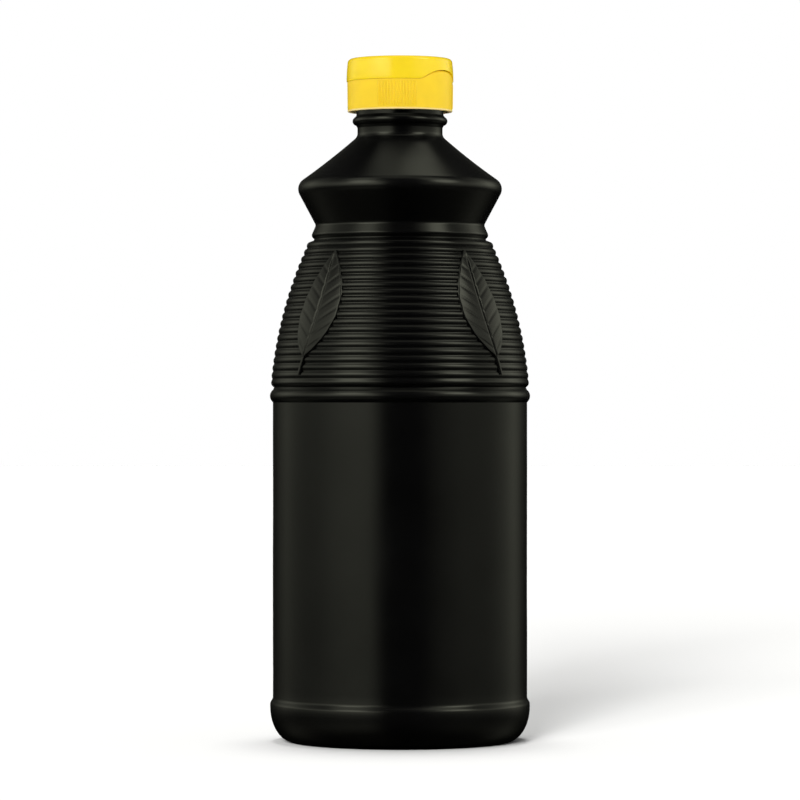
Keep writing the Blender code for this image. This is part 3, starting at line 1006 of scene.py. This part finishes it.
def black_polyethylene():
    material, tree, shader = new_material("blow-moulded HDPE, carbon black")
    shader.inputs["Base Color"].default_value = linear("#020202")
    shader.inputs["IOR"].default_value = 1.54
    place = add_node(tree, "ShaderNodeTexCoord").outputs["Object"]
    patches = add_node(tree, "ShaderNodeTexNoise",
                       {"Vector": place, "Scale": per_metre(PATCH_SIZE), "Detail": 3.0})
    gloss = add_node(tree, "ShaderNodeMapRange",
                     {"Value": patches.outputs["Fac"], "From Min": 0.3, "From Max": 0.7,
                      "To Min": ROUGHNESS_LOW, "To Max": ROUGHNESS_HIGH})
    tree.links.new(gloss.outputs["Result"], shader.inputs["Roughness"])
    grain = add_node(tree, "ShaderNodeTexNoise",
                     {"Vector": place, "Scale": per_metre(BLAST_GRAIN), "Detail": 2.0})
    split = add_node(tree, "ShaderNodeSeparateXYZ", {"Vector": place})
    off_seam = add_node(tree, "ShaderNodeMath", {0: split.outputs["Y"]}, operation="ABSOLUTE")
    seam = add_node(tree, "ShaderNodeMapRange",
                    {"Value": off_seam.outputs["Value"], "From Min": 0.0,
                     "From Max": SEAM_HALF_WIDTH, "To Min": 1.0, "To Max": 0.0},
                    interpolation_type="SMOOTHSTEP")
    grain_bump = add_node(tree, "ShaderNodeBump",
                          {"Height": grain.outputs["Fac"], "Strength": 0.12,
                           "Distance": BLAST_DEPTH})
    seam_bump = add_node(tree, "ShaderNodeBump",
                         {"Height": seam.outputs["Result"], "Strength": 1.0,
                          "Distance": SEAM_HEIGHT, "Normal": grain_bump.outputs["Normal"]})
    tree.links.new(seam_bump.outputs["Normal"], shader.inputs["Normal"])
    return material


# %% [markdown]
# ## Yellow injection-moulded polypropylene
#
# Polypropylene is slightly cloudy, so light goes a little way into it before it comes
# back, and the colour is deep rather than painted. The mould is polished, and the gloss
# is low but clean. The lid and the base come out of two cavities: the lid is glossier,
# and the base is a touch more orange. Its thin lower rim looks paler in the light.
# Scattering alone hardly shows that, so a painted highlight makes the colour paler
# there, by height.
# The real grain is too fine to show, so it is drawn at 0.8 mm and kept very low.

# %% Materials of the cap
FLOW_SIZE = 5.0 * MM
FLOW_CHANGE = 0.03
SCATTER_DEPTH = 0.8 * MM
CAP_GRAIN = 0.8 * MM
CAP_GRAIN_DEPTH = 0.02 * MM
# Painted highlight along the skirt's lower rim: how high it reaches, and how much of the yellow's
# colour is left in it.
RIM_HIGHLIGHT_BAND = 0.7 * MM
RIM_HIGHLIGHT_SATURATION = 0.72


def yellow_polypropylene(name, colour, roughness, ior):
    material, tree, shader = new_material(name)
    shader.inputs["IOR"].default_value = ior
    shader.inputs["Subsurface Weight"].default_value = 0.12
    shader.inputs["Subsurface Radius"].default_value = (1.0, 0.6, 0.15)
    shader.inputs["Subsurface Scale"].default_value = SCATTER_DEPTH
    shader.inputs["Roughness"].default_value = roughness
    place = add_node(tree, "ShaderNodeTexCoord").outputs["Object"]
    flow = add_node(tree, "ShaderNodeTexNoise",
                    {"Vector": place, "Scale": per_metre(FLOW_SIZE), "Detail": 2.0})
    shade = add_node(tree, "ShaderNodeMapRange",
                     {"Value": flow.outputs["Fac"], "From Min": 0.3, "From Max": 0.7,
                      "To Min": 1 - FLOW_CHANGE, "To Max": 1 + FLOW_CHANGE})
    # Painted highlight: the yellow is made paler, less saturated, on the lowest 0.7 mm of the skirt,
    # chosen by height.
    height = add_node(tree, "ShaderNodeSeparateXYZ", {"Vector": place}).outputs["Z"]
    strength = add_node(tree, "ShaderNodeMapRange",
                        {"Value": height, "From Min": SKIRT_BOTTOM + RIM_HIGHLIGHT_BAND * 0.5,
                         "From Max": SKIRT_BOTTOM + RIM_HIGHLIGHT_BAND, "To Min": RIM_HIGHLIGHT_SATURATION})
    tint = add_node(tree, "ShaderNodeHueSaturation",
                    {"Color": linear(colour), "Value": shade.outputs["Result"],
                     "Saturation": strength.outputs["Result"]})
    tree.links.new(tint.outputs["Color"], shader.inputs["Base Color"])
    grain = add_node(tree, "ShaderNodeTexNoise",
                     {"Vector": place, "Scale": per_metre(CAP_GRAIN), "Detail": 2.0})
    bump = add_node(tree, "ShaderNodeBump",
                    {"Height": grain.outputs["Fac"], "Strength": 0.08,
                     "Distance": CAP_GRAIN_DEPTH})
    tree.links.new(bump.outputs["Normal"], shader.inputs["Normal"])
    return material


# %% [markdown]
# ## Dressing the pieces
#
# Each piece gets its plastic, rides on the bottle's one body, and takes the place of the
# packed solid that it stands for, which is hidden. One table holds all of that, so nothing can be
# left undressed.

# %% Dress the pieces
black = black_polyethylene()
base_yellow = yellow_polypropylene("injection-moulded PP, base", "#FDD416", roughness=0.34, ior=1.49)
lid_yellow = yellow_polypropylene("injection-moulded PP, lid", "#FFDC0D", roughness=0.17, ior=1.8)
DRESS = (
    (bottle, "bottle", "bottle_plastic", black),
    (cap_base, "cap_base", "cap_plastic", base_yellow),
    (lid, "cap_lid", "cap_plastic", lid_yellow),
)
for piece, node, slot, material in DRESS:
    piece.data.materials.clear()
    piece.data.materials.append(material)
    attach(piece, "root")
    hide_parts(node)
    print(f"{piece.name} stands for {node}")

# %% [markdown]
# ## A dark neck under a yellow cap
#
# A glossy neck mirrors the yellow skirt over it and turns yellow itself. In a studio a
# strip of black card under the cap stops that. Here the cap is left out of what glossy
# surfaces mirror, which does the same with nothing to hide from the camera.

# %% Keep the cap out of reflections
for piece in (cap_base, lid):
    piece.visible_glossy = False
    print(f"{piece.name} isn't mirrored")

# %% [markdown]
# ## Camera
#
# A tall product could be looked down on, but then its upright lines would run together.
# A long lens, level with the middle of the bottle and well away from it, keeps them
# upright and shows the cap a little from below and the foot a little from above.

# %% Camera
CAMERA_DISTANCE = 1.4356
CAMERA_HEIGHT = 115.94 * MM
LENS = 190.0
SENSOR_WIDTH = 36.0

camera = bpy.data.objects.new("camera", bpy.data.cameras.new("camera"))
bpy.context.scene.collection.objects.link(camera)
camera.data.lens = LENS
camera.data.sensor_width = SENSOR_WIDTH
camera.location = (0.0, -CAMERA_DISTANCE, CAMERA_HEIGHT)
camera.rotation_euler = (math.radians(90), 0.0, 0.0)
bpy.context.scene.camera = camera
print(f"a {LENS:.0f} mm lens, {CAMERA_DISTANCE:.2f} m away")

# %% [markdown]
# ## A pale floor
#
# The bottle stands on matt card, so large that its edge is never in view. The card is
# grey, because the light on it is strong: it comes out white, and the shadow on it keeps
# its soft greys. It is left out of what glossy surfaces mirror, so the foot stays black.

# %% Floor
FLOOR_SIZE = 12.0

bpy.ops.object.select_all(action="DESELECT")
bpy.ops.mesh.primitive_plane_add(size=FLOOR_SIZE)
floor = bpy.context.object
floor.name = "floor"
card, _, card_shader = new_material("pale card")
card_shader.inputs["Base Color"].default_value = linear("#7C7C7B")
card_shader.inputs["Roughness"].default_value = 0.9
card_shader.inputs["Specular IOR Level"].default_value = 0.0
floor.data.materials.append(card)
floor.visible_glossy = False
print(f"floor {FLOOR_SIZE:.0f} m across")

# %% [markdown]
# ## A light tent
#
# A black glossy bottle is lit by what it reflects, not by what falls on it. Pale cloth
# hangs left and right of it. It is open in front for the camera, a little to the right,
# and open behind, and that gap is the dark stripe down the bottle. Two bright boxes hang
# in front, left and right, with a weaker one above each, two small ones high up behind
# and a faint one overhead, and they light the shoulder and the top of every rib. Cloth
# and boxes could be glowing planes. They are drawn in the world instead, by direction
# alone, which is quick to render and has no edge that a view could catch.

# %% What hangs in the tent
# Brightness of the cloth at eye level, by degrees to the right of the front.
CLOTH = (
    (-175, 0.01), (-150, 0.02), (-140, 0.09), (-132, 0.15), (-124, 0.26), (-95, 0.21),
    (-77, 0.26), (-61, 0.40), (-46, 0.47), (-27, 0.50), (-15, 0.0), (20, 0.0), (36, 0.11),
    (58, 0.21), (89, 0.21), (110, 0.32), (123, 0.41), (131, 0.27), (142, 0.07),
    (155, 0.01), (175, 0.01),
)
# How many times as bright it is, by degrees above eye level.
CLOTH_HEIGHT = (
    (-50, 0.04), (-42, 0.12), (-28, 0.3), (-18, 0.2), (-12, 0.12), (-7, 0.2), (0, 1.0),
    (4, 1.35), (9, 2.2), (18, 2.2), (30, 1.0), (45, 0.4), (60, 0.0),
)
# Each box: degrees to the right of the front and degrees up, the degrees from its middle
# where it stops being even and where it ends, and its brightness.
BOXES = (
    (-47, 28, 8, 20, 1.85),
    (58, 33, 7, 18, 2.0),
    (-60, 52, 7, 20, 0.65),
    (57, 54, 7, 19, 0.6),
    (157, 65, 4, 14, 0.65),
    (-166, 70, 4, 13, 0.3),
    (0, 82, 8, 26, 0.25),
)
# The cloth's own tint: cream, with little blue.
CREAM = (1.0, 1.02, 0.8, 1.0)
WHITE = (1.0, 1.0, 1.0, 1.0)
AMBIENT = 1.12
print(f"{len(BOXES)} boxes between the cloths")


# %% [markdown]
# ## Brightness by direction
#
# A direction has a turn round the bottle and a height above eye level. The cloth's
# brightness is one ramp over the turn times one over the height. A box is found by how
# closely the direction points at its middle, and its edge is soft, as a real box's is.

# %% Brightness by direction
def ramp(tree, value, stops):
    """Brightness that goes straight from stop to stop. A stop is a place (0 to 1) and a value."""
    made = add_node(tree, "ShaderNodeValToRGB", {"Fac": value})
    elements = made.color_ramp.elements
    while len(elements) < len(stops):
        elements.new(1.0)
    for element, (place, brightness) in zip(elements, stops):
        element.position = place
        element.color = (brightness, brightness, brightness, 1.0)
    return made.outputs["Color"]


def cloth_brightness(tree, towards):
    """How bright the cloth is in this direction: one ramp goes round it, and one goes up it."""
    split = add_node(tree, "ShaderNodeSeparateXYZ", {"Vector": towards})
    ahead = add_node(tree, "ShaderNodeMath", {0: split.outputs["Y"], 1: -1.0},
                     operation="MULTIPLY")
    azimuth = add_node(tree, "ShaderNodeMath",
                       {0: split.outputs["X"], 1: ahead.outputs["Value"]}, operation="ARCTAN2")
    turn = add_node(tree, "ShaderNodeMapRange",
                    {"Value": azimuth.outputs["Value"], "From Min": -math.pi, "From Max": math.pi})
    level = add_node(tree, "ShaderNodeMapRange", {"Value": split.outputs["Z"], "From Min": -1.0})
    stops = [(0.5 + angle / 360, value) for angle, value in CLOTH]
    round_it = ramp(tree, turn.outputs["Result"], stops)
    stops = [(0.5 + math.sin(math.radians(angle)) / 2, value) for angle, value in CLOTH_HEIGHT]
    up_it = ramp(tree, level.outputs["Result"], stops)
    cloth = add_node(tree, "ShaderNodeMath", {0: round_it, 1: up_it}, operation="MULTIPLY")
    return cloth.outputs["Value"]


def box_brightness(tree, towards, box):
    """One hanging box: even in its middle, with a soft edge."""
    right, up, even, reach, brightness = box
    way = around(right, math.cos(math.radians(up)), math.sin(math.radians(up)))
    facing = add_node(tree, "ShaderNodeVectorMath", {0: towards, 1: way},
                      operation="DOT_PRODUCT")
    glow = add_node(tree, "ShaderNodeMapRange",
                    {"Value": facing.outputs["Value"], "From Min": math.cos(math.radians(reach)),
                     "From Max": math.cos(math.radians(even)), "To Max": brightness},
                    interpolation_type="SMOOTHSTEP")
    return glow.outputs["Result"]


# %% [markdown]
# ## One world, three uses
#
# The tent is meant for reflections. If it lit the matt surfaces too, every change to a
# reflection would change the cap and the floor. So glossy rays see the tent, rays from
# matt surfaces see an even light, and the camera sees a white backdrop.

# %% Hang the tent
def light_tent():
    world = bpy.data.worlds.new("light tent")
    world.use_nodes = True
    bpy.context.scene.world = world
    tree = world.node_tree
    towards = add_node(tree, "ShaderNodeTexCoord").outputs["Generated"]
    tent = cloth_brightness(tree, towards)
    for box in BOXES:
        tent = add_node(tree, "ShaderNodeMath", {0: tent, 1: box_brightness(tree, towards, box)},
                        operation="MAXIMUM").outputs["Value"]
    cloth = add_node(tree, "ShaderNodeBackground", {"Color": CREAM, "Strength": tent})
    even = add_node(tree, "ShaderNodeBackground", {"Color": WHITE, "Strength": AMBIENT})
    backdrop = add_node(tree, "ShaderNodeBackground", {"Color": WHITE})
    ray = add_node(tree, "ShaderNodeLightPath")
    lit = add_node(tree, "ShaderNodeMixShader",
                   {0: ray.outputs["Is Glossy Ray"], 1: even.outputs["Background"],
                    2: cloth.outputs["Background"]})
    shown = add_node(tree, "ShaderNodeMixShader",
                     {0: ray.outputs["Is Camera Ray"], 1: lit.outputs["Shader"],
                      2: backdrop.outputs["Background"]})
    tree.links.new(shown.outputs["Shader"], tree.nodes["World Output"].inputs["Surface"])
    print(f"{world.name}: {len(tree.nodes)} nodes")


light_tent()

# %% [markdown]
# ## Lamps for the shadow alone
#
# The even light gives hardly any shadow. Two low suns to the left of the camera give the
# long soft one, and one high up behind the bottle gives the narrow dark line round its
# foot. They would wash out the bottle, so light linking lets them light the floor only.

# %% Lamps over the floor
# Each lamp: degrees to the right of the front, degrees up, degrees wide, and strength.
LAMPS = (
    (-20, 26, 20, 6.8),
    (-11, 14, 14, 16.2),
    (180, 82, 20, 5.9),
)
over_floor = bpy.data.collections.new("lit by the lamps")
over_floor.objects.link(floor)


def add_lamp(azimuth, elevation, width, strength):
    """A far lamp that lights the floor alone."""
    lamp = bpy.data.objects.new("floor lamp", bpy.data.lights.new("floor lamp", "SUN"))
    bpy.context.scene.collection.objects.link(lamp)
    lamp.data.energy = strength
    lamp.data.angle = math.radians(width)
    towards = Vector(around(azimuth, 1.0, math.tan(math.radians(elevation))))
    lamp.rotation_mode = "QUATERNION"
    lamp.rotation_quaternion = towards.to_track_quat("Z", "Y")
    lamp.light_linking.receiver_collection = over_floor


for settings in LAMPS:
    add_lamp(*settings)
print(f"{len(LAMPS)} lamps over the floor")

# %% [markdown]
# ## Plain colours
#
# Blender's default view transform mutes bright colours and lifts black. The standard one
# shows each colour as it was mixed, as a catalogue picture should.

# %% View transform
bpy.context.scene.view_settings.view_transform = "Standard"
print("view transform", bpy.context.scene.view_settings.view_transform)
